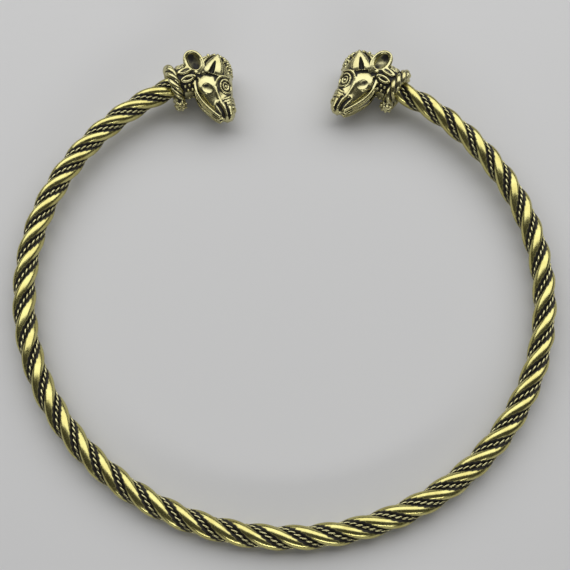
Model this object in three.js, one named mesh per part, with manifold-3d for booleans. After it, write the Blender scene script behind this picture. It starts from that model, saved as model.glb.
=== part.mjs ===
// A rigid neck ring (torc) of twisted brass wires that ends in two cast, horned animal heads.
// Units are millimetres, +Z is up. The torc lies flat with its opening towards +Y, and the origin
// is on the table under the middle of its bounding box.
//
// Each piece is drawn in one of two frames:
//  - the hoop frame: the hoop's plane is z = 0 and the opening is centred on +Y;
//  - the terminal frame: the rope collar's middle is the origin, +X runs along the neck towards
//    the head, +Y points to the back of the neck (away from the wearer), z = 0 is the plane of
//    symmetry of the animal.
import * as THREE from 'three';
import { mergeVertices } from 'three/addons/utils/BufferGeometryUtils.js';
import Module from 'manifold-3d';

const wasm = await Module();
wasm.setup();

// ---------------------------------------------------------------- driving dimensions

const HOOP_HALF_WIDTH = 66.2; // centreline of the hoop, a slightly flattened ellipse
const HOOP_HALF_DEPTH = 63.0;
const HOOP_SKEW = THREE.MathUtils.degToRad(-6.65); // the hoop is bent a little out of true
const HOOP_RADIUS = 3.0; // of the whole bundle of wires
const PITCH = 22.7; // length of one full turn of the twist
const TWIST_START = 1.62; // angle of the first twisted pair where the wires leave the right terminal
const STRANDS = 3;

const THICK_WIRE_RADIUS = 1.08;
const THICK_WIRE_SIDES = 5;
const PAIR_RADIUS = 0.34;
const PAIR_SIDES = 4;
const PAIR_ORBIT = 2.42; // how far the twisted pairs lie from the hoop's centreline
const STEPS_PER_TURN = 7;

const COLLAR_RADIUS = 4.9; // to the middle of the rope
const ROPE_RADIUS = 1.4;
const TERMINALS = {
  // where each collar stands on the hoop, and how far the casting is turned outwards from it
  terminal_left: { angle: THREE.MathUtils.degToRad(-28.2), turn: THREE.MathUtils.degToRad(-6) },
  terminal_right: { angle: THREE.MathUtils.degToRad(29.2), turn: THREE.MathUtils.degToRad(5) },
};
const NECK_RADIUS = 4.75;
// Cross-sections of the head from the poll down to the lips, each with its height, the jaw and
// forehead sides, and its half-width.
const HEAD_SECTIONS = [
  [5.6, 9.6, 12.6, 1.2],
  [4.5, 7.0, 15.2, 2.5],
  [1.6, 5.6, 16.4, 3.7],
  [-2.4, 5.1, 16.1, 4.5],
  [-5.8, 5.2, 15.2, 4.1],
  [-9.0, 6.3, 14.0, 3.2],
  [-12.0, 7.5, 13.4, 2.7],
  [-14.4, 8.6, 12.9, 2.2],
  [-15.4, 10.4, 11.6, 0.5],
];

const WIRE_ENTRY = 1.1; // the wires end this far behind the collar's middle

const SMALLEST_EDGE = 0.06; // slivers of the casting shorter than this are merged away
const REST_FLAT = 0.32; // depth of the small worn flats that the torc rests on
const LIE_TILT = THREE.MathUtils.degToRad(1.48); // sets collars and hoop on the table together

// ---------------------------------------------------------------- materials

const wireMetal = new THREE.MeshStandardMaterial({ color: 0xc9bd72, metalness: 1, roughness: 0.22 });
const pairMetal = new THREE.MeshStandardMaterial({ color: 0xb9b184, metalness: 1, roughness: 0.35 });
const castMetal = new THREE.MeshStandardMaterial({ color: 0xcfc68c, metalness: 1, roughness: 0.28 });

// ---------------------------------------------------------------- solids

// A closed geometry becomes a solid that can be joined and cut.
function solid(geometry) {
  const bare = geometry.index ? geometry.toNonIndexed() : geometry.clone();
  bare.deleteAttribute('normal');
  bare.deleteAttribute('uv');
  const merged = mergeVertices(bare, 1e-4);
  const vertProperties = new Float32Array(merged.attributes.position.array);
  const corners = merged.index.array;
  const kept = [];
  for (let i = 0; i < corners.length; i += 3) {
    const [a, b, c] = [corners[i], corners[i + 1], corners[i + 2]];
    if (a !== b && b !== c && c !== a) kept.push(a, b, c);
  }
  const triVerts = new Uint32Array(kept);
  return new wasm.Manifold(new wasm.Mesh({ numProp: 3, vertProperties, triVerts }));
}

function joined(solids) {
  return solids.reduce((whole, piece) => whole.add(piece));
}

function geometryOf(body) {
  const mesh = body.getMesh();
  const geometry = new THREE.BufferGeometry();
  geometry.setAttribute('position', new THREE.BufferAttribute(mesh.vertProperties, 3));
  geometry.setIndex(new THREE.BufferAttribute(mesh.triVerts, 1));
  return geometry;
}

// A round section of the given mean radius, as a polygon of the same area.
function roundSection(radius, sides) {
  const reach = radius * Math.sqrt((2 * Math.PI) / (sides * Math.sin((2 * Math.PI) / sides)));
  const corners = [];
  for (let i = 0; i < sides; i += 1) {
    const angle = (2 * Math.PI * i) / sides;
    corners.push(new THREE.Vector2(reach * Math.cos(angle), reach * Math.sin(angle)));
  }
  return new THREE.Shape(corners);
}

// A small eight-faced bead with its own half-sizes.
function bead(centre, halfSizes) {
  return new THREE.OctahedronGeometry(1).scale(...halfSizes).translate(...centre);
}

// A ball with its own half-sizes, turned about z and then moved.
function ball(centre, halfSizes, turn = 0, across = 8, down = 5) {
  const geometry = new THREE.SphereGeometry(1, across, down);
  geometry.scale(...halfSizes);
  geometry.rotateZ(turn);
  geometry.translate(...centre);
  return geometry;
}

// A thin rod through a few points.
function rod(points, radius, sides = 5, steps = points.length - 1) {
  const path = new THREE.CatmullRomCurve3(points.map((point) => new THREE.Vector3(...point)));
  return new THREE.ExtrudeGeometry(roundSection(radius, sides), {
    steps,
    bevelEnabled: false,
    extrudePath: path,
  });
}

// The two mirror images of a solid on the left and right cheek of the animal.
function bothSides(body) {
  return body.add(body.mirror([0, 0, 1]));
}

// ---------------------------------------------------------------- hoop

// The hoop's centreline, clockwise from the right terminal round the front to the left one.
class HoopLine extends THREE.Curve {
  constructor(from, to) {
    super();
    this.from = from;
    this.to = to;
    this.arcLengthDivisions = 720;
  }

  getPoint(t, target = new THREE.Vector3()) {
    const along = this.from + (this.to - this.from) * t;
    return target.copy(onHoop(along));
  }
}

// The point of the hoop's centreline in the direction `angle`, clockwise from +Y.
function onHoop(angle) {
  const turned = angle + HOOP_SKEW;
  const x = Math.sin(turned) / HOOP_HALF_WIDTH;
  const y = Math.cos(turned) / HOOP_HALF_DEPTH;
  const reach = 1 / Math.hypot(x, y);
  return new THREE.Vector3(Math.sin(angle) * reach, Math.cos(angle) * reach, 0);
}

// A wire that winds round the hoop's centreline with a right-handed twist.
class StrandLine extends THREE.Curve {
  constructor(hoop, orbit, start) {
    super();
    this.hoop = hoop;
    this.orbit = orbit;
    this.start = start;
    this.turns = hoop.getLength() / PITCH;
    this.arcLengthDivisions = 4000;
  }

  getPoint(t, target = new THREE.Vector3()) {
    const centre = this.hoop.getPointAt(t);
    const ahead = this.hoop.getTangentAt(t);
    const up = new THREE.Vector3(0, 0, 1);
    const outward = up.clone().cross(ahead);
    const angle = this.start + 2 * Math.PI * this.turns * t;
    target.copy(centre);
    target.addScaledVector(outward, this.orbit * Math.cos(angle));
    target.addScaledVector(up, this.orbit * Math.sin(angle));
    return target;
  }
}

function strand(hoop, orbit, start, radius, sides) {
  const path = new StrandLine(hoop, orbit, start);
  return new THREE.ExtrudeGeometry(roundSection(radius, sides), {
    steps: Math.round(path.turns * STEPS_PER_TURN),
    bevelEnabled: false,
    extrudePath: path,
  });
}

function buildWires() {
  const entry = WIRE_ENTRY / HOOP_HALF_DEPTH;
  const { terminal_left: left, terminal_right: right } = TERMINALS;
  const hoop = new HoopLine(right.angle + entry, 2 * Math.PI + left.angle - entry);
  const thickOrbit = HOOP_RADIUS - THICK_WIRE_RADIUS;
  const between = Math.PI / STRANDS;
  const meshes = [];
  for (let i = 0; i < STRANDS; i += 1) {
    const start = TWIST_START + 2 * i * between;
    const thick = strand(hoop, thickOrbit, start + between, THICK_WIRE_RADIUS, THICK_WIRE_SIDES);
    const pair = strand(hoop, PAIR_ORBIT, start, PAIR_RADIUS, PAIR_SIDES);
    meshes.push(named(`thick_wire_${i + 1}`, solid(thick), wireMetal));
    meshes.push(named(`twisted_pair_${i + 1}`, solid(pair), pairMetal));
  }
  return meshes;
}

function named(name, body, material) {
  const mesh = new THREE.Mesh(geometryOf(body), material);
  mesh.name = name;
  return mesh;
}

// ---------------------------------------------------------------- terminal

// The rope collar: a three-lobed rope bent into a ring, its lobes winding as they go round.
function buildCollar() {
  const [lobes, windings, steps, groove] = [3, 3, 18, 0.76];
  const sides = 2 * lobes;
  const geometry = new THREE.TorusGeometry(COLLAR_RADIUS, ROPE_RADIUS, sides, steps);
  const position = geometry.attributes.position;
  for (let i = 0; i < position.count; i += 1) {
    const around = ((i % (steps + 1)) * 2 * Math.PI) / steps;
    const corner = Math.floor(i / (steps + 1)) % sides;
    const angle = (corner * 2 * Math.PI) / sides + around * windings;
    const reach = ROPE_RADIUS * (corner % 2 === 0 ? 1 : groove);
    const ring = COLLAR_RADIUS + reach * Math.cos(angle);
    position.setXYZ(i, reach * Math.sin(angle), ring * Math.cos(around), ring * Math.sin(around));
  }
  return solid(geometry);
}

// The round knot under the throat.
function buildKnot() {
  return solid(ball([-0.1, -6.1, 0], [1.7, 1.4, 1.9], 0, 6, 4));
}

// The neck is a short drum with locks of mane laid along it.
function buildNeck() {
  const [back, front, rise, locks] = [-0.5, 9.0, 0.4, 6];
  const profile = [
    [0, back],
    [NECK_RADIUS - 0.6, back],
    [NECK_RADIUS, 1.5],
    [NECK_RADIUS, front],
    [0, front],
  ].map(([r, x]) => new THREE.Vector2(r, x));
  const drum = new THREE.LatheGeometry(profile, 8);
  drum.rotateZ(-Math.PI / 2);
  const parts = [solid(drum)];
  for (let i = 0; i < locks; i += 1) {
    const lock = bead([4.4, NECK_RADIUS, 0], [2.6, 0.8, 1.2]);
    lock.rotateX(((i + 0.5) * 2 * Math.PI) / locks);
    parts.push(solid(lock));
  }
  return joined(parts).translate([0, rise, 0]);
}

// The skull and muzzle, lofted through the head's cross-sections.
function buildSkull() {
  const sides = 10;
  const rows = HEAD_SECTIONS.length - 1;
  const geometry = new THREE.SphereGeometry(1, sides, rows);
  const position = geometry.attributes.position;
  for (let i = 0; i < position.count; i += 1) {
    const row = Math.floor(i / (sides + 1));
    const angle = ((i % (sides + 1)) * 2 * Math.PI) / sides;
    const [height, jaw, forehead, halfWidth] = HEAD_SECTIONS[row];
    const size = row === 0 || row === rows ? 0 : 1;
    const x = (jaw + forehead - size * (forehead - jaw) * Math.cos(angle)) / 2;
    position.setXYZ(i, x, height, size * halfWidth * Math.sin(angle));
  }
  return solid(geometry);
}

// The oval, cupped ear stands out from the side of the poll.
function buildEar() {
  const [width, height, thickness, rim] = [2.5, 3.5, 1.1, 0.62];
  const shell = ball([0, 0, 0], [width, height, thickness], 0, 8, 4);
  const hollow = ball([0, 0, thickness], [width * rim, height * rim, thickness], 0, 6, 3);
  const lean = new THREE.Euler(-0.3, -0.1, 0.05);
  const place = new THREE.Matrix4().makeRotationFromEuler(lean).setPosition(7.2, 3.2, 4.5);
  return solid(shell.applyMatrix4(place)).subtract(solid(hollow.applyMatrix4(place)));
}

// The short horn is a broad pointed leaf with a deep groove down its outer face.
function buildHorn() {
  const [length, halfWidth, flatness] = [6.2, 2.8, 0.6];
  const leaf = new THREE.ConeGeometry(halfWidth, length, 6).scale(1, 1, flatness);
  const groove = new THREE.ConeGeometry(halfWidth * 0.36, length, 3).scale(0.7, 1, 1);
  groove.translate(0, -0.8, halfWidth * flatness * 0.6);
  const lean = new THREE.Euler(0.12, 0, THREE.MathUtils.degToRad(-41));
  const place = new THREE.Matrix4().makeRotationFromEuler(lean).setPosition(12.4, 0.3, 3.6);
  return solid(leaf.applyMatrix4(place)).subtract(solid(groove.applyMatrix4(place)));
}

// The bulging eye under its brow.
function buildEye() {
  const eyeball = ball([13.0, -6.4, 3.5], [1.35, 1.75, 1.15], -0.3, 6, 3);
  const brow = rod([[10.9, -5.6, 4.0], [12.6, -4.2, 4.3], [14.9, -4.6, 3.2]], 0.5, 3, 2);
  return solid(eyeball).add(solid(brow));
}

// The broad cheek and the ridge that follows the edge of the jaw.
function buildCheek() {
  const plate = ball([8.8, -4.2, 3.4], [3.5, 3.5, 1.4], 0.2, 6, 4);
  const ridge = rod([[5.7, -2.4, 3.5], [5.9, -7.2, 3.0], [8.6, -13.4, 1.6]], 0.45, 3, 3);
  return solid(plate).add(solid(ridge));
}

// The slits of the mouth and the nostril, cut into the side of the muzzle.
function buildSlits() {
  const mouth = new THREE.BoxGeometry(0.35, 6.2, 1.2).rotateZ(-0.06).translate(10.4, -12.2, 2.75);
  const nostril = new THREE.BoxGeometry(0.35, 3.4, 1.2).rotateZ(0.05).translate(11.9, -12.6, 2.3);
  return solid(mouth).add(solid(nostril));
}

// The curled poll crest down the middle of the forehead.
function buildCrest() {
  const [curls, middle] = [3, [13.5, 0.2, 0]];
  const parts = [];
  for (let i = 0; i < curls; i += 1) {
    const angle = THREE.MathUtils.degToRad(52 - 46 * i);
    const centre = [middle[0] + 2.5 * Math.cos(angle), middle[1] + 3.6 * Math.sin(angle), 0];
    parts.push(solid(bead(centre, [1.2, 1.5, 2.4])));
  }
  return joined(parts);
}

// The wrinkled bridge of the nose and the ball at its tip.
function buildNose() {
  const parts = [solid(ball([12.5, -12.1, 0], [1.35, 1.5, 1.9], 0, 6, 3))];
  for (let i = 0; i < 3; i += 1) {
    const wrinkle = bead([13.5 - 0.12 * i, -8.6 - 0.85 * i, 0], [0.75, 0.4, 2.6]);
    parts.push(solid(wrinkle));
  }
  return joined(parts);
}

function buildTerminal() {
  const oneSide = joined([buildEar(), buildHorn(), buildEye(), buildCheek()]);
  const head = joined([buildSkull(), bothSides(oneSide), buildCrest(), buildNose()]);
  const carved = head.subtract(bothSides(buildSlits()));
  return joined([carved, buildNeck(), buildCollar(), buildKnot()]).simplify(SMALLEST_EDGE);
}

// ---------------------------------------------------------------- assembly

// From the terminal frame to the hoop frame. The right casting is the left one turned over.
function terminalPlace({ angle, turn }) {
  const side = Math.sign(angle);
  const place = new THREE.Group();
  place.position.copy(onHoop(angle));
  const ahead = new THREE.Vector3(-side * Math.cos(angle), side * Math.sin(angle), 0);
  const outward = new THREE.Vector3(Math.sin(angle), Math.cos(angle), 0);
  const basis = new THREE.Matrix4().makeBasis(ahead, outward, ahead.clone().cross(outward));
  place.quaternion.setFromRotationMatrix(basis);
  place.rotateZ(turn);
  return place;
}

// Everything below the table top is worn away, which leaves the small flats of a resting piece.
function restOnTable(mesh) {
  const slab = new THREE.BoxGeometry(400, 400, 20).translate(0, 0, -10);
  slab.applyMatrix4(mesh.matrixWorld.clone().invert());
  mesh.geometry = geometryOf(solid(mesh.geometry).subtract(solid(slab)));
}

const group = new THREE.Group();
const torc = new THREE.Group();
group.add(torc);
torc.add(...buildWires());
const casting = buildTerminal();
for (const [name, seat] of Object.entries(TERMINALS)) {
  const place = terminalPlace(seat);
  place.add(named(name, casting, castMetal));
  torc.add(place);
}

// The collars are thicker than the hoop, so the torc lies with its open side a little raised.
torc.rotation.x = LIE_TILT;
group.updateMatrixWorld(true);
const unworn = new THREE.Box3().setFromObject(group, true);
torc.position.z = -unworn.min.z - REST_FLAT;
torc.position.x = -(unworn.min.x + unworn.max.x) / 2;
torc.position.y = -(unworn.min.y + unworn.max.y) / 2;
group.updateMatrixWorld(true);
group.traverse((part) => {
  if (part.isMesh) restOnTable(part);
});

export default group;
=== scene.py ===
import math

import bmesh
import bpy
import numpy as np
from mathutils import Matrix, Vector
from mathutils.bvhtree import BVHTree


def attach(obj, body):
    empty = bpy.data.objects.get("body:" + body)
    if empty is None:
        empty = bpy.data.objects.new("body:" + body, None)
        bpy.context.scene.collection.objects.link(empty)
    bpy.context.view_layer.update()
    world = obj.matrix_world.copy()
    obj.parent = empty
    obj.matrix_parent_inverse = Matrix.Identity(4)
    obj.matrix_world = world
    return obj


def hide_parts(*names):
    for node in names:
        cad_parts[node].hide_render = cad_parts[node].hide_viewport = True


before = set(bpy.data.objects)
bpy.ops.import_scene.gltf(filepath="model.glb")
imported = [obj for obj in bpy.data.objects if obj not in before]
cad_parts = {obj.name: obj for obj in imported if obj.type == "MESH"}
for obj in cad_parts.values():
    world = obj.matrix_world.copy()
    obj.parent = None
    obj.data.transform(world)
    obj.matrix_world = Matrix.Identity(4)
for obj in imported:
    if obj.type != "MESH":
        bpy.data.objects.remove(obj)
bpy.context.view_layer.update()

# ---------------------------------------------------------------- camera
# The torc is seen from above its closed front, looking down steeply, so that the
# whole hoop fills the square frame and both heads lie at the far side.
camera = bpy.data.objects.new("camera", bpy.data.cameras.new("camera"))
camera.data.sensor_width = 36
camera.data.lens = 61.72
camera.data.clip_start = 0.01
camera.data.clip_end = 20
camera.location = (-0.00177, -0.08606, 0.23864)
camera.rotation_euler = (math.radians(19.89), math.radians(-0.39), math.radians(-0.19))
bpy.context.scene.collection.objects.link(camera)
bpy.context.scene.camera = camera

# ---------------------------------------------------------------- thick wires
# Three round brass wires are laid up together into the hoop, touching each other, with
# a right-handed twist of one turn in 22.7 mm. Their crests are polished bright, and the valleys
# between them are painted black: partly patina, partly painted shade. Lengths are in millimetres
# until a piece is finished.
HOOP_HALF_WIDTH = 66.2
HOOP_HALF_DEPTH = 63.0
HOOP_SKEW = math.radians(-6.65)
HOOP_RADIUS = 3.0
PITCH = 22.7
TWIST_START = 1.62
LEFT_COLLAR = math.radians(-28.2)
RIGHT_COLLAR = math.radians(29.2)
WIRE_ENTRY = 1.1
THICK_RADIUS = 1.39
THICK_STEP = 0.6
BURIED = 2.6  # how far each wire runs on inside the terminal
WIRE_BLACK = (2.5, 2.74)  # off the hoop's centreline: black up to the first, bright from the second
HOOP_SAMPLES = 8000
OVERRUN = 0.1  # radians that the sampled centreline runs on past both terminals
# how the torc lies on the table, on its collars and the front of the hoop
LIE = Matrix.Translation((0.04152, -0.79978, 4.42851)) @ Matrix.Rotation(math.radians(1.48), 4, "X")

GOLD = (0.60, 0.555, 0.215, 1)
PALE_GOLD = (0.58, 0.545, 0.29, 1)
# near-black laid on hollows and valleys: partly the piece's patina, partly painted shade
PATINA_AND_SHADE = (0.012, 0.010, 0.007, 1)


def hoop_reach(angle):
    """How far the hoop's centreline is from its middle, at an angle clockwise from +Y."""
    turned = angle + HOOP_SKEW
    return 1 / np.hypot(np.sin(turned) / HOOP_HALF_WIDTH, np.cos(turned) / HOOP_HALF_DEPTH)


hoop_from = RIGHT_COLLAR + WIRE_ENTRY / HOOP_HALF_DEPTH
hoop_to = 2 * math.pi + LEFT_COLLAR - WIRE_ENTRY / HOOP_HALF_DEPTH
hoop_angles = np.linspace(hoop_from - OVERRUN, hoop_to + OVERRUN, HOOP_SAMPLES)
hoop_reaches = hoop_reach(hoop_angles)
hoop_line = np.stack([np.sin(hoop_angles) * hoop_reaches, np.cos(hoop_angles) * hoop_reaches], 1)
hoop_steps = np.linalg.norm(np.diff(hoop_line, axis=0), axis=1)
hoop_marks = np.concatenate([[0], np.cumsum(hoop_steps)])
hoop_marks -= np.interp(hoop_from, hoop_angles, hoop_marks)
hoop_length = np.interp(hoop_to, hoop_angles, hoop_marks)


def laid_wire(marks, orbit, start):
    """Points of a wire laid round the hoop, and the directions out from the centreline."""
    centre = np.stack([np.interp(marks, hoop_marks, hoop_line[:, i]) for i in (0, 1)] + [0 * marks], 1)
    ahead = np.gradient(centre, axis=0)
    ahead /= np.linalg.norm(ahead, axis=1)[:, None]
    sideways = np.stack([-ahead[:, 1], ahead[:, 0], 0 * marks], 1)
    turn = start + 2 * math.pi * marks / PITCH
    out = np.cos(turn)[:, None] * sideways
    out[:, 2] = np.sin(turn)
    return centre + orbit * out, out


def off_hoop(points):
    """How far each point lies from the hoop's centreline."""
    angle = np.arctan2(points[:, 0], points[:, 1])
    return np.hypot(np.hypot(points[:, 0], points[:, 1]) - hoop_reach(angle), points[:, 2])


def fade(value, black, bright):
    """1 where value is at or below black, 0 where it is at or above bright, and smooth between."""
    t = np.clip((value - bright) / (black - bright), 0, 1)
    return t * t * (3 - 2 * t)


def evaluated_mesh(holder):
    """The mesh that an object's curve or modifiers give. The object itself goes."""
    bpy.context.scene.collection.objects.link(holder)
    bpy.context.view_layer.update()
    depsgraph = bpy.context.evaluated_depsgraph_get()
    mesh = bpy.data.meshes.new_from_object(holder.evaluated_get(depsgraph))
    bpy.data.objects.remove(holder)
    return mesh


def drawn_wire(lines, radius, resolution):
    """A mesh of round wires drawn along lines of points, with closed ends."""
    curve = bpy.data.curves.new("wire", "CURVE")
    curve.dimensions = "3D"
    curve.bevel_depth = radius
    curve.bevel_resolution = resolution
    curve.use_fill_caps = True
    for line in lines:
        spline = curve.splines.new("POLY")
        spline.points.add(len(line) - 1)
        spline.points.foreach_set("co", np.column_stack([line, np.ones(len(line))]).ravel())
    return evaluated_mesh(bpy.data.objects.new("wire", curve))


def mesh_points(mesh):
    points = np.empty(len(mesh.vertices) * 3)
    mesh.vertices.foreach_get("co", points)
    return points.reshape(-1, 3)


def lay_down(mesh, name, patina_and_shade, material, place=Matrix.Identity(4)):
    """The finished piece: on the table, in metres, with its black of patina and painted shade, and its
    material.
    """
    layer = mesh.attributes.new("patina_and_shade", "FLOAT", "POINT")
    layer.data.foreach_set("value", patina_and_shade.astype(np.float32))
    mesh.transform(Matrix.Diagonal((0.001, 0.001, 0.001, 1)) @ LIE @ place)
    mesh.shade_smooth()
    mesh.materials.clear()
    mesh.materials.append(material)
    piece = bpy.data.objects.new(name, mesh)
    bpy.context.scene.collection.objects.link(piece)
    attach(piece, "root")
    return piece


def node_at(tree, kind, x, y, **settings):
    node = tree.nodes.new(kind)
    node.location = (x, y)
    for key, value in settings.items():
        setattr(node, key, value)
    return node


# Aged brass: bright metal where hands and polishing reach, black in the hollows (partly
# patina, partly painted shade), with a soft uneven tarnish between, and the small dents and
# scratches of a handled piece.
aged = bpy.data.node_groups.new("AgedBrass", "ShaderNodeTree")
for title, kind, default in (
    ("Metal", "NodeSocketColor", GOLD),
    ("Black", "NodeSocketColor", PATINA_AND_SHADE),
    ("Patina and shade", "NodeSocketFloat", 0.0),
    ("Dents", "NodeSocketFloat", 1.0),
):
    aged.interface.new_socket(title, in_out="INPUT", socket_type=kind).default_value = default
for title, kind in (("Color", "NodeSocketColor"), ("Roughness", "NodeSocketFloat"),
                    ("Metallic", "NodeSocketFloat"), ("Height", "NodeSocketFloat")):
    aged.interface.new_socket(title, in_out="OUTPUT", socket_type=kind)
inputs = node_at(aged, "NodeGroupInput", -1200, 0)
outputs = node_at(aged, "NodeGroupOutput", 900, 0)
where = node_at(aged, "ShaderNodeTexCoord", -1200, -400)
blotch = node_at(aged, "ShaderNodeTexNoise", -950, -200)
blotch.inputs["Scale"].default_value = 320
blotch.inputs["Detail"].default_value = 4
grain = node_at(aged, "ShaderNodeTexNoise", -950, -450)
grain.inputs["Scale"].default_value = 2600
grain.inputs["Detail"].default_value = 3
dents = node_at(aged, "ShaderNodeTexNoise", -950, -700)
dents.inputs["Scale"].default_value = 700
dents.inputs["Detail"].default_value = 2
for noise in (blotch, grain, dents):
    aged.links.new(where.outputs["Object"], noise.inputs["Vector"])

# the edge of the black of patina and painted shade, broken up by noise
uneven = node_at(aged, "ShaderNodeMath", -700, 150, operation="MULTIPLY_ADD")  # patina edge, broken up
uneven.inputs[1].default_value = 0.5
aged.links.new(blotch.outputs["Fac"], uneven.inputs[0])
aged.links.new(inputs.outputs["Patina and shade"], uneven.inputs[2])
covered = node_at(aged, "ShaderNodeMapRange", -480, 150, interpolation_type="SMOOTHSTEP")
covered.inputs["From Min"].default_value = 0.45
covered.inputs["From Max"].default_value = 0.95
aged.links.new(uneven.outputs[0], covered.inputs["Value"])

dull = node_at(aged, "ShaderNodeMix", -480, -150, data_type="RGBA", blend_type="MULTIPLY")
dull.inputs["B"].default_value = (0.78, 0.74, 0.62, 1)
tarnish = node_at(aged, "ShaderNodeMapRange", -700, -150)
tarnish.inputs["From Min"].default_value = 0.42
tarnish.inputs["From Max"].default_value = 0.72
tarnish.inputs["To Max"].default_value = 0.8
aged.links.new(blotch.outputs["Fac"], tarnish.inputs["Value"])
aged.links.new(tarnish.outputs["Result"], dull.inputs["Factor"])
aged.links.new(inputs.outputs["Metal"], dull.inputs["A"])

coloured = node_at(aged, "ShaderNodeMix", -200, 100, data_type="RGBA")
aged.links.new(covered.outputs["Result"], coloured.inputs["Factor"])
aged.links.new(dull.outputs["Result"], coloured.inputs["A"])
aged.links.new(inputs.outputs["Black"], coloured.inputs["B"])
aged.links.new(coloured.outputs["Result"], outputs.inputs["Color"])

rough = node_at(aged, "ShaderNodeMapRange", -200, -150)
rough.inputs["To Min"].default_value = 0.16
rough.inputs["To Max"].default_value = 0.34
aged.links.new(grain.outputs["Fac"], rough.inputs["Value"])
roughened = node_at(aged, "ShaderNodeMapRange", 50, -150)
aged.links.new(covered.outputs["Result"], roughened.inputs["Value"])
aged.links.new(rough.outputs["Result"], roughened.inputs["To Min"])
roughened.inputs["To Max"].default_value = 0.6
aged.links.new(roughened.outputs["Result"], outputs.inputs["Roughness"])

metallic = node_at(aged, "ShaderNodeMapRange", 50, 250)
metallic.inputs["To Min"].default_value = 1.0
metallic.inputs["To Max"].default_value = 0.3
aged.links.new(covered.outputs["Result"], metallic.inputs["Value"])
aged.links.new(metallic.outputs["Result"], outputs.inputs["Metallic"])

relief = node_at(aged, "ShaderNodeMath", -480, -500, operation="MULTIPLY_ADD")
relief.inputs[1].default_value = 0.25
aged.links.new(grain.outputs["Fac"], relief.inputs[0])
aged.links.new(dents.outputs["Fac"], relief.inputs[2])
scaled = node_at(aged, "ShaderNodeMath", -200, -500, operation="MULTIPLY")
aged.links.new(relief.outputs[0], scaled.inputs[0])
aged.links.new(inputs.outputs["Dents"], scaled.inputs[1])
aged.links.new(scaled.outputs[0], outputs.inputs["Height"])


def brass(name, metal, dent_depth):
    """A finish of aged brass, with the piece's own colour and depth of dents."""
    material = bpy.data.materials.new(name)
    material.use_nodes = True
    tree = material.node_tree
    shader = tree.nodes["Principled BSDF"]
    group = node_at(tree, "ShaderNodeGroup", -500, 100, node_tree=aged)
    group.inputs["Metal"].default_value = metal
    group.inputs["Dents"].default_value = dent_depth
    worn = node_at(tree, "ShaderNodeAttribute", -750, 100, attribute_name="patina_and_shade")
    bump = node_at(tree, "ShaderNodeBump", -250, -200)
    bump.inputs["Distance"].default_value = 0.00008
    bump.inputs["Strength"].default_value = 0.5
    tree.links.new(worn.outputs["Fac"], group.inputs["Patina and shade"])
    tree.links.new(group.outputs["Color"], shader.inputs["Base Color"])
    tree.links.new(group.outputs["Roughness"], shader.inputs["Roughness"])
    tree.links.new(group.outputs["Metallic"], shader.inputs["Metallic"])
    tree.links.new(group.outputs["Height"], bump.inputs["Height"])
    tree.links.new(bump.outputs["Normal"], shader.inputs["Normal"])
    return material


wire_finish = brass("wire_brass", GOLD, 0.6)
marks = np.arange(-BURIED, hoop_length + BURIED, THICK_STEP)
for i in range(3):
    start = TWIST_START + (2 * i + 1) * math.pi / 3
    line, _ = laid_wire(marks, HOOP_RADIUS - THICK_RADIUS, start)
    mesh = drawn_wire([line], THICK_RADIUS, 8)
    # black patina and painted shade on the sides of each wire turned into the valleys
    patina_and_shade = fade(off_hoop(mesh_points(mesh)), *WIRE_BLACK)
    piece = lay_down(mesh, f"laid_wire_{i + 1}", patina_and_shade, wire_finish)
    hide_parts(f"thick_wire_{i + 1}")

# ---------------------------------------------------------------- twisted pairs
# In each valley between the thick wires lies a cord of two thin brass wires twisted
# on each other. Only its crests are bright; the rest is painted black, partly patina and partly
# painted shade, so it reads as a row of small slanted beads.
PLY_RADIUS = 0.24
PLY_LAY = 3.1
PAIR_ORBIT = 2.06
PLY_STEPS = 12  # points along one turn of the plies
PLY_BITE = 0.005  # how far the two plies press into each other
PAIR_BLACK = (2.2, 2.42)

pair_finish = brass("pair_brass", PALE_GOLD, 0.3)
stretch = math.hypot(1, 2 * math.pi * PAIR_ORBIT / PITCH)
marks = np.arange(-BURIED, hoop_length + BURIED, PLY_LAY / stretch / PLY_STEPS)
for i in range(3):
    middle, out = laid_wire(marks, PAIR_ORBIT, TWIST_START + 2 * i * math.pi / 3)
    ahead = np.gradient(middle, axis=0)
    ahead /= np.linalg.norm(ahead, axis=1)[:, None]
    across = np.cross(ahead, out)
    plies = []
    for ply in (0, math.pi):
        turn = ply - 2 * math.pi * marks * stretch / PLY_LAY
        offset = np.cos(turn)[:, None] * out + np.sin(turn)[:, None] * across
        plies.append(middle + (PLY_RADIUS - PLY_BITE) * offset)
    mesh = drawn_wire(plies, PLY_RADIUS, 2)
    # black patina and painted shade on the cord, all but its outer crests
    patina_and_shade = fade(off_hoop(mesh_points(mesh)), *PAIR_BLACK)
    piece = lay_down(mesh, f"twisted_cord_{i + 1}", patina_and_shade, pair_finish)
    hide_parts(f"twisted_pair_{i + 1}")

# ---------------------------------------------------------------- terminals
# Both ends are the same horned animal head, cast in brass in one piece with its neck and
# rope collar. The carving was cut in the wax: bold ridges, slits and beads, with black between
# them that is partly patina and partly painted shade, and the broad planes polished bright.
# In this section +X runs along the neck to the head, +Y to its back, and Z to its cheeks.
FINEST = 0.14  # the finest detail of the casting
GRAVER_FINEST = 0.1
GOLDEN_TURN = 2.39996  # spreads points evenly, in radians
NECK_RADIUS = 4.3
NECK_RISE = 0.35
NECK_LENGTH = 8.5
NECK_MIDDLE = 3.9
COLLAR_RADIUS = 4.75
ROPE_RADIUS = 1.5
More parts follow.
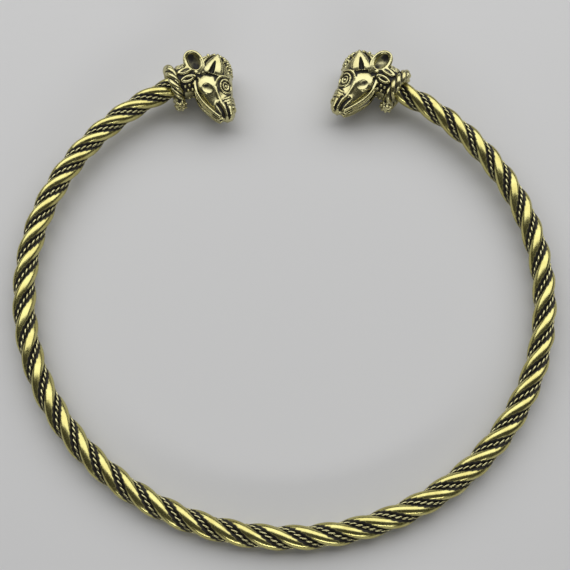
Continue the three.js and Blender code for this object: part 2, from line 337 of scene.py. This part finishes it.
# Cross-sections of the head: height, jaw side, forehead side, half-width, squareness
HEAD_SECTIONS = (
    (4.6, 9.9, 12.9, 0.8, 0.0),
    (4.3, 8.6, 13.8, 1.6, 0.1),
    (3.4, 7.4, 14.9, 2.4, 0.1),
    (2.2, 6.5, 15.8, 3.1, 0.1),
    (0.6, 5.9, 16.3, 3.7, 0.1),
    (-1.4, 5.4, 16.2, 4.1, 0.2),
    (-3.4, 5.2, 15.8, 4.3, 0.3),
    (-5.2, 5.2, 15.3, 4.2, 0.35),
    (-7.0, 5.4, 14.7, 3.7, 0.4),
    (-9.0, 6.0, 13.9, 3.1, 0.4),
    (-11.0, 6.9, 13.3, 2.75, 0.4),
    (-12.8, 7.7, 12.9, 2.5, 0.35),
    (-14.2, 8.5, 12.4, 2.1, 0.3),
    (-15.0, 9.3, 11.7, 1.4, 0.2),
    (-15.4, 10.1, 11.1, 0.5, 0.0),
)
clay = bmesh.new()
graver = bmesh.new()
rolls = bpy.data.curves.new("rolls", "CURVE")
rolls.dimensions = "3D"
rolls.bevel_depth = 1
rolls.bevel_resolution = 3
rolls.use_fill_caps = True
balls = []


def lump(at, size, turn=0.0, fine=3):
    """A ball pressed on at a place, with its own half-sizes, turned in the side view."""
    place = Matrix.Translation(at) @ Matrix.Rotation(turn, 4, "Z") @ Matrix.Diagonal((*size, 1))
    ball = bmesh.new()
    bmesh.ops.create_icosphere(ball, subdivisions=fine, radius=1, matrix=place)
    balls.append(bpy.data.meshes.new("ball"))
    ball.to_mesh(balls[-1])
    ball.free()


def roll(points, radii, closed=False):
    """A roll of clay laid through a few points, round, thicker or thinner as it goes."""
    if not hasattr(radii, "__len__"):
        radii = [radii] * len(points)
    spline = rolls.splines.new("POLY")
    spline.points.add(len(points) - 1)
    spline.use_cyclic_u = closed
    for knot, point, radius in zip(spline.points, points, radii):
        knot.co = (*point, 1)
        knot.radius = radius
    if not closed:
        lump(points[0], (radii[0],) * 3, 0, 2)
        lump(points[-1], (radii[-1],) * 3, 0, 2)


def press_into(body):
    """Adds all balls and rolls made so far to the clay, or to the graver that cuts it."""
    balls.append(evaluated_mesh(bpy.data.objects.new("rolls", rolls)))
    rolls.splines.clear()
    for mesh in balls:
        body.from_mesh(mesh)
        bpy.data.meshes.remove(mesh)
    balls.clear()


def both_cheeks(body):
    """Whatever is on one side of the head is repeated on the other."""
    copied = bmesh.ops.duplicate(body, geom=body.verts[:] + body.edges[:] + body.faces[:])["geom"]
    bmesh.ops.scale(body, vec=(1, 1, -1), verts=[g for g in copied if isinstance(g, bmesh.types.BMVert)])
    bmesh.ops.reverse_faces(body, faces=[g for g in copied if isinstance(g, bmesh.types.BMFace)])


def smooth_line(points, steps=5):
    """More points on a smooth curve through a few."""
    points = [Vector(p) for p in points]
    ends = [2 * points[0] - points[1], *points, 2 * points[-1] - points[-2]]
    line = []
    for p0, p1, p2, p3 in zip(ends, ends[1:], ends[2:], ends[3:]):
        for k in range(steps):
            t = k / steps
            line.append(0.5 * (2 * p1 + (p2 - p0) * t + (2 * p0 - 5 * p1 + 4 * p2 - p3) * t * t
                               + (3 * p1 - p0 - 3 * p2 + p3) * t ** 3))
    return line + [points[-1]]


def tapered(first, middle, last, count):
    """Radii that swell or shrink evenly from first over middle to last."""
    return [np.interp(k / (count - 1), [0, 0.5, 1], [first, middle, last]) for k in range(count)]


def oval(wide, tall, count=32, pinch=0.0):
    """Points of an oval, its two ends across drawn out into corners where it is pinched."""
    line = []
    for k in range(count):
        t = 2 * math.pi * k / count
        line.append((wide * math.cos(t), tall * math.sin(t) * (1 - pinch * abs(math.cos(t)) ** 3)))
    return line


def drawn_up(sections, place):
    """A closed form drawn up ring by ring through its cross-sections."""
    form = bmesh.new()
    bmesh.ops.create_circle(form, cap_ends=True, segments=40, radius=1)
    form.verts.ensure_lookup_table()
    around = [math.atan2(v.co.y, v.co.x) for v in form.verts]
    ring = form.verts[:]
    cap = form.faces[:]
    for row, (height, near, far, half_width, square) in enumerate(sections):
        if row:
            grown = bmesh.ops.extrude_face_region(form, geom=cap)["geom"]
            fresh = {v for v in grown if isinstance(v, bmesh.types.BMVert)}
            ring = [next(e.other_vert(v) for e in v.link_edges if e.other_vert(v) in fresh) for v in ring]
            if row > 1:
                bmesh.ops.delete(form, geom=cap, context="FACES_ONLY")
            cap = [f for f in grown if isinstance(f, bmesh.types.BMFace)]
        for v, angle in zip(ring, around):
            c, s = math.cos(angle), math.sin(angle)
            reach = 1 + square * ((abs(c) ** 4 + abs(s) ** 4) ** -0.25 - 1)
            v.co = ((near + far) / 2 + (far - near) / 2 * c * reach, height, half_width * s * reach)
    bmesh.ops.recalc_face_normals(form, faces=form.faces)
    bmesh.ops.transform(form, matrix=place, verts=form.verts)
    mesh = bpy.data.meshes.new("form")
    form.to_mesh(mesh)
    form.free()
    balls.append(mesh)


# the skull and muzzle with the broad flat cheek, and the rise under the eye
drawn_up(HEAD_SECTIONS, Matrix.Identity(4))
lump((8.8, -4.4, 3.0), (3.3, 3.2, 1.5), 0.15)
lump((11.8, -4.4, 2.5), (3.2, 2.8, 1.6), 0.1)
press_into(clay)
side_of_head = BVHTree.FromBMesh(clay)


def on_skin(x, y, rise=0.0):
    """The point of the head's side at (x, y), raised by rise."""
    hit = side_of_head.ray_cast(Vector((x, y, 20)), Vector((0, 0, -1)))[0]
    return Vector((x, y, (hit.z if hit else 0.8) + rise))


# jaw edge and the finer ridges behind it, on the underside
jaw_line = [(5.9, -1.8, 3.3), (5.2, -3.8, 3.3), (5.0, -6.0, 3.1), (5.4, -8.2, 2.7), (6.3, -10.5, 2.35),
            (7.2, -12.4, 2.1), (8.2, -14.0, 1.6)]
line = smooth_line(jaw_line)
roll(line, tapered(0.42, 0.3, 0.42, len(line)))
for back, inward, thick in ((0.25, 0.95, 0.24), (0.35, 1.8, 0.24)):
    line = smooth_line([(x - back, y - 0.2, z - inward) for x, y, z in jaw_line[1:]])
    roll(line, thick)

# the sharp edge of the facet from below the eye down the muzzle
line = smooth_line([on_skin(10.3, -5.0, -0.35), on_skin(9.9, -7.0, -0.15), on_skin(9.8, -9.0, -0.15),
                    on_skin(9.9, -10.3, -0.1)])
roll(line, tapered(0.4, 0.5, 0.35, len(line)))

# nostril arch and lips
line = smooth_line([on_skin(x, y, -0.12) for x, y in (
    (8.5, -14.3), (8.0, -12.6), (8.1, -11.1), (8.9, -10.2), (9.8, -10.5), (10.3, -12.2), (10.1, -14.6))])
roll(line, tapered(0.36, 0.3, 0.38, len(line)))

# eye: ball, two lids and a heavy brow
EYE = (12.85, -7.0)


def ring_round_eye(wide, tall, thick, rise):
    """A ring round the eye, slanted, with its corners drawn out."""
    ring = oval(wide, tall, 26, 0.35)
    roll([on_skin(EYE[0] + x - 0.12 * y, EYE[1] + y + 0.3 * x, rise) for x, y in ring], thick, closed=True)


lump(on_skin(*EYE, -0.1), (0.45, 0.5, 0.5))
for wide, tall, thick, rise in ((0.8, 0.9, 0.2, 0.12), (1.5, 1.7, 0.25, 0.12)):
    ring_round_eye(wide, tall, thick, rise)
line = smooth_line([on_skin(10.4, -6.0, -0.1), on_skin(11.4, -4.7, 0.15), on_skin(12.9, -4.2, 0.25),
                    on_skin(14.6, -5.0, 0.15)])
roll(line, tapered(0.25, 0.4, 0.25, len(line)))

# horn: a short pointed cone, flattened, to be split down its outer face
HORN_ROOT = Vector((10.9, -1.9, 3.7))
HORN_TIP = Vector((14.4, 2.5, 4.5))
HORN_FLATNESS = 0.55
up_horn = (HORN_TIP - HORN_ROOT).normalized()
across_horn = up_horn.cross(Vector((0, 0, 1))).normalized()
horn_place = Matrix.Translation(HORN_ROOT) @ Matrix(
    (across_horn, up_horn, across_horn.cross(up_horn))).transposed().to_4x4()
horn_length = (HORN_TIP - HORN_ROOT).length
# part of the way up the horn, and the half-width there
HORN_PROFILE = ((-0.14, 2.6), (0.0, 2.85), (0.15, 2.8), (0.35, 2.45), (0.55, 1.95), (0.75, 1.25),
                (0.9, 0.6), (1.0, 0.15))
drawn_up([(horn_length * t, -r, r, HORN_FLATNESS * r, 0.0) for t, r in HORN_PROFILE], horn_place)
# a low fold behind the horn, from the ear to the poll
line = smooth_line([(8.9, 0.2, 3.5), (9.6, 1.8, 3.6), (11.0, 3.1, 3.2), (12.4, 3.8, 2.4)])
roll(line, tapered(0.4, 0.35, 0.3, len(line)))

# ear: a cupped oval with a rolled rim, on a short stalk
ear_place = (Matrix.Translation((7.3, 2.4, 4.7)) @ Matrix.Rotation(0.16, 4, "Z")
             @ Matrix.Rotation(0.08, 4, "X") @ Matrix.Rotation(-0.15, 4, "Y"))
cup = ear_place @ Matrix.Translation((0, 0, -0.5)) @ Matrix.Diagonal((2.5, 3.4, 1.15, 1))
bmesh.ops.create_icosphere(clay, subdivisions=4, radius=1, matrix=cup)
roll([ear_place @ Vector((x, y, 0.12 * y - 0.05)) for x, y in oval(2.25, 3.15, 40)], 0.5, closed=True)
line = smooth_line([(8.6, -1.2, 3.4), (8.3, 0.4, 3.7), (7.7, 1.6, 3.6)])
roll(line, tapered(1.0, 0.9, 1.1, len(line)))
press_into(clay)
both_cheeks(clay)

# beaded curls of the crest, from the poll down the forehead
lump((14.9, 0.2, 0), (1.5, 3.8, 2.3), 0.1)
crest = smooth_line([(12.9, 4.4, 0), (14.5, 3.8, 0), (15.8, 2.6, 0), (16.5, 1.0, 0), (16.5, -1.0, 0),
                     (15.9, -3.0, 0)], 2)
for k, spot in enumerate(crest):
    for z in ((-1.85, -0.62, 0.62, 1.85) if k % 2 else (-2.4, -1.23, 0, 1.23, 2.4)):
        lump((spot.x - 0.16 * z * z, spot.y - 0.02 * z * z, z), (0.52, 0.5, 0.5), 0, 2)
for z in (-1.0, 0, 1.0):
    roll(smooth_line([(8.4, 4.5, z), (10.2, 4.8, z), (11.6, 4.8, z), (12.6, 4.5, z)]), 0.38)

# wrinkles, the ball at the end of the nose, and the lip under it
lump((12.35, -12.55, 0), (1.15, 1.2, 1.75))
for k in range(3):
    x, y = 13.75 - 0.14 * k, -9.75 - 0.8 * k
    half = [on_skin(x - 2.5, y - 0.5, 0.08), on_skin(x - 1.4, y - 0.3, 0.12), on_skin(x - 0.7, y - 0.1, 0.1),
            Vector((x, y, 0))]
    roll(smooth_line(half + [Vector((p.x, p.y, -p.z)) for p in half[-2::-1]]), 0.32)
roll(smooth_line([(11.3, -14.6, 1.7), (12.1, -14.2, 0.9), (12.3, -14.1, 0), (12.1, -14.2, -0.9),
                  (11.3, -14.6, -1.7)]), 0.3)

# neck, with its ribs, framed bars and pellets
drum = Matrix.Translation((NECK_MIDDLE, NECK_RISE, 0)) @ Matrix.Rotation(math.pi / 2, 4, "Y")
bmesh.ops.create_cone(clay, cap_ends=True, segments=64, radius1=NECK_RADIUS, radius2=NECK_RADIUS,
                      depth=NECK_LENGTH, matrix=drum)


def on_neck(x, turn, rise=0.0):
    """A point of the neck, turn degrees down from its back, raised by rise."""
    reach = NECK_RADIUS + rise
    turn = math.radians(turn)
    return Vector((x, NECK_RISE + reach * math.cos(turn), reach * math.sin(turn)))


for side in (-1, 1):
    for k in range(4):  # slanting ribs along the back of the neck
        x = 2.3 + 1.3 * k
        rib = [on_neck(x, side * 5, 0.1), on_neck(x + 0.6, side * 18, 0.25), on_neck(x + 1.1, side * 33, 0.1)]
        roll(rib, 0.42)
    for k in range(3):  # knobs with a ring round each
        along, turn = 2.9 + 1.5 * k, side * 52
        lump(on_neck(along, turn, 0.3), (0.34, 0.34, 0.34), 0, 2)
        ring = [on_neck(along + x, turn + 13 * y, 0.15) for x, y in oval(0.66, 0.68, 14)]
        roll(ring, 0.24, closed=True)
    for turn, tall in ((82, 9.0), (113, 8.0)):  # long framed bars
        bar = [on_neck(4.2 + x, side * turn + y, 0.25) for x, y in oval(1.9, tall, 24, 0.5)]
        roll(bar, 0.38, closed=True)
    roll([on_neck(3.2, side * 82, 0.1), on_neck(5.2, side * 82, 0.1)], 0.26)
    for k in range(3):  # pellets under the throat
        for turn, shift in ((136, 0.0), (154, 0.5)):
            lump(on_neck(2.7 + shift + 1.2 * k, side * turn, 0.1), (0.45, 0.5, 0.55), 0, 2)
    for k in range(7):  # a row of beads where the neck meets the head
        lump(on_neck(6.75, side * (14 + 22 * k), 0.15), (0.36, 0.42, 0.42), 0, 2)

# rope collar of three strands, and the beaded knot at the throat
WINDINGS = 4
STRAND_OFFSET = 0.84  # from the rope's own middle
ROPE_POINTS = 140
ROPE_FORWARD = 0.3
for strand in range(3):
    rope = []
    for k in range(ROPE_POINTS):
        ring_turn = 2 * math.pi * k / ROPE_POINTS
        lay = 2 * math.pi * strand / 3 + WINDINGS * ring_turn
        reach = COLLAR_RADIUS + STRAND_OFFSET * math.cos(lay)
        rope.append((ROPE_FORWARD + STRAND_OFFSET * math.sin(lay), reach * math.cos(ring_turn),
                     reach * math.sin(ring_turn)))
    roll(rope, ROPE_RADIUS - STRAND_OFFSET, closed=True)
KNOT = Vector((0.0, -6.0, 0))
KNOT_BEADS = 26
lump(KNOT, (1.55, 1.1, 1.7))
for k in range(KNOT_BEADS):
    lift = math.acos(1 - 2 * (k + 0.5) / KNOT_BEADS)
    turn = GOLDEN_TURN * k
    wide = math.sin(lift)
    spot = Vector((1.6 * wide * math.cos(turn), -1.15 * math.cos(lift), 1.75 * wide * math.sin(turn)))
    lump(KNOT + spot, (0.38, 0.38, 0.38), 0, 2)
press_into(clay)

# the graver: mouth and nostril slits, the rings round the eye, the groove along the jaw, the
# hollow of the cheek, the split of the horn and the ear's cup
line = smooth_line([on_skin(8.9, -10.9, 0.1), on_skin(9.2, -12.0, 0.1), on_skin(9.35, -13.4, 0.1),
                    on_skin(9.2, -15.2, 0.2)])
roll(line, tapered(0.5, 0.62, 0.5, len(line)))
line = smooth_line([on_skin(10.95, -11.2, 0.1), on_skin(11.05, -12.6, 0.1), on_skin(10.7, -15.2, 0.2)])
roll(line, tapered(0.25, 0.42, 0.4, len(line)))
for wide, tall, thick, rise in ((0.5, 0.58, 0.14, 0.12), (1.14, 1.28, 0.22, 0.1), (1.86, 2.08, 0.14, 0.05)):
    ring_round_eye(wide, tall, thick, rise)
line = smooth_line([(x + 0.55, y - 0.1, z + 0.35) for x, y, z in jaw_line[:-1]])
roll(line, tapered(0.2, 0.22, 0.2, len(line)))
lump((7.9, -7.2, 4.45), (1.7, 2.7, 1.0), 0.22)
drawn_up([(horn_length * t, -w, w, d, 0.0) for t, w, d in
          ((-0.12, 0.75, 0.9), (0.1, 0.7, 1.0), (0.4, 0.45, 0.8), (0.7, 0.22, 0.5), (0.86, 0.1, 0.25))],
         horn_place @ Matrix.Translation((0, 0, 1.5)))
cavity = ear_place @ Matrix.Translation((0, 0.05, 0.75)) @ Matrix.Diagonal((1.75, 2.65, 1.6, 1))
bmesh.ops.create_icosphere(graver, subdivisions=4, radius=1, matrix=cavity)
press_into(graver)
both_cheeks(graver)


def fused(body, finest, cutter=None):
    """One closed skin over a body of pressed-together forms, with the cutter's forms cut away."""
    mesh = bpy.data.meshes.new("fused")
    body.to_mesh(mesh)
    body.free()
    holder = bpy.data.objects.new("fused", mesh)
    skin = holder.modifiers.new("skin", "REMESH")
    skin.mode = "VOXEL"
    skin.voxel_size = finest
    if cutter:
        away = bpy.data.objects.new("away", cutter)
        bpy.context.scene.collection.objects.link(away)
        cut = holder.modifiers.new("cut", "BOOLEAN")
        cut.object = away
        cut.solver = "EXACT"
        again = holder.modifiers.new("again", "REMESH")
        again.mode = "VOXEL"
        again.voxel_size = finest
    return evaluated_mesh(holder)


cutter = fused(graver, GRAVER_FINEST)
casting = fused(clay, FINEST, cutter)
bpy.data.objects.remove(bpy.data.objects["away"])

edge_ends = np.empty(len(casting.edges) * 2, np.int64)
casting.edges.foreach_get("vertices", edge_ends)
edge_ends = edge_ends.reshape(-1, 2)
neighbours = np.bincount(edge_ends.ravel(), minlength=len(casting.vertices))[:, None]


def relaxed(values, times):
    """Values on the casting's points, each time halfway to the mean of its neighbours."""
    for _ in range(times):
        total = np.zeros_like(values)
        for k in range(values.shape[1]):
            total[:, k] += np.bincount(edge_ends[:, 0], values[edge_ends[:, 1], k], len(values))
            total[:, k] += np.bincount(edge_ends[:, 1], values[edge_ends[:, 0], k], len(values))
        values = (values + total / neighbours) / 2
    return values


points = relaxed(mesh_points(casting), 2)
casting.vertices.foreach_set("co", points.ravel())
casting.update()

# black, partly patina and partly painted shade, stays where polishing and light can't reach: where nearby
# metal stands over a point
REACH = 1.3
RAYS = 16
OFF_SKIN = 0.03  # rays start this far out
rays = []
for k in range(RAYS):
    lift = math.acos(1 - 0.9 * (k + 0.5) / RAYS)
    turn = GOLDEN_TURN * k
    rays.append((math.sin(lift) * math.cos(turn), math.sin(lift) * math.sin(turn), math.cos(lift)))
normals = np.empty(len(points) * 3)
casting.vertex_normals.foreach_get("vector", normals)
tree = BVHTree.FromPolygons([Vector(p) for p in points], [tuple(p.vertices) for p in casting.polygons])
shut_in = np.zeros((len(points), 1))
for k, (p, n) in enumerate(zip(points, normals.reshape(-1, 3))):
    up = Vector(n)
    side = up.orthogonal().normalized()
    third = up.cross(side)
    start = Vector(p) + OFF_SKIN * up
    for a, b, c in rays:
        hit = tree.ray_cast(start, a * side + b * third + c * up, REACH)
        if hit[0] is not None:
            shut_in[k] += 1 - 0.4 * hit[3] / REACH
shut_in = relaxed(shut_in / RAYS, 2)[:, 0]
# and where a point lies below the mean of the metal round it, closely and widely
patina_and_shade = 3.3 * shut_in - 0.27
for times, weight, highest, deepest in ((10, 13.0, -0.06, 0.15), (40, 4.5, -0.1, 0.3)):
    dip = np.einsum("ij,ij->i", relaxed(points, times) - points, normals.reshape(-1, 3))
    patina_and_shade += weight * np.clip(dip, highest, deepest)
patina_and_shade = np.clip(patina_and_shade, 0, 1)

cast_finish = brass("cast_brass", PALE_GOLD, 1.0)


def terminal_place(angle, turn):
    """From the casting's own frame to the hoop's. The right one is the left one turned over."""
    side = math.copysign(1, angle)
    ahead = Vector((-side * math.cos(angle), side * math.sin(angle), 0))
    outward = Vector((math.sin(angle), math.cos(angle), 0))
    axes = Matrix((ahead, outward, ahead.cross(outward))).transposed().to_4x4()
    seat = Matrix.Translation(outward * float(hoop_reach(angle)))
    return seat @ axes @ Matrix.Rotation(turn, 4, "Z")


for name, angle, turn in (("left", LEFT_COLLAR, -6), ("right", RIGHT_COLLAR, 5)):
    piece = lay_down(casting.copy(), f"animal_head_{name}", patina_and_shade, cast_finish,
                     terminal_place(angle, math.radians(turn)))
    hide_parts(f"terminal_{name}")

# ---------------------------------------------------------------- table and light
# A plain pale matt table top, a large soft light overhead and behind, a long low one at
# the front for the second highlight, and a dim even room.
plane = bmesh.new()
bmesh.ops.create_grid(plane, x_segments=2, y_segments=2, size=2.5)
table_mesh = bpy.data.meshes.new("table_top")
plane.to_mesh(table_mesh)
plane.free()
table_top = bpy.data.objects.new("table_top", table_mesh)
bpy.context.scene.collection.objects.link(table_top)
matt = bpy.data.materials.new("matt_table")
matt.use_nodes = True
shader = matt.node_tree.nodes["Principled BSDF"]
shader.inputs["Roughness"].default_value = 0.9
shader.inputs["Specular IOR Level"].default_value = 0.2
shade = node_at(matt.node_tree, "ShaderNodeTexNoise", -500, 0)
shade.inputs["Scale"].default_value = 3
tone = node_at(matt.node_tree, "ShaderNodeMapRange", -300, 0)
tone.inputs["To Min"].default_value = 0.66
tone.inputs["To Max"].default_value = 0.72
place = node_at(matt.node_tree, "ShaderNodeTexCoord", -700, 0)
matt.node_tree.links.new(place.outputs["Object"], shade.inputs["Vector"])
matt.node_tree.links.new(shade.outputs["Fac"], tone.inputs["Value"])
matt.node_tree.links.new(tone.outputs["Result"], shader.inputs["Base Color"])
table_mesh.materials.append(matt)


def softbox(name, at, towards, size, power):
    lamp = bpy.data.objects.new(name, bpy.data.lights.new(name, "AREA"))
    lamp.data.shape = "RECTANGLE"
    lamp.data.size, lamp.data.size_y = size
    lamp.data.energy = power
    lamp.location = at
    lamp.rotation_euler = (Vector(towards) - Vector(at)).to_track_quat("-Z", "Y").to_euler()
    bpy.context.scene.collection.objects.link(lamp)


softbox("overhead", (0, 0.45, 0.6), (0, 0.1, 0), (2.2, 0.85), 10.5)
softbox("front_strip", (0.1, -0.8, 0.3), (0, 0, 0), (0.8, 0.1), 1.6)

world = bpy.data.worlds.new("room")
world.use_nodes = True
world.node_tree.nodes["Background"].inputs["Color"].default_value = (1, 1, 1, 1)
world.node_tree.nodes["Background"].inputs["Strength"].default_value = 0.06
bpy.context.scene.world = world
bpy.context.scene.view_settings.view_transform = "Standard"
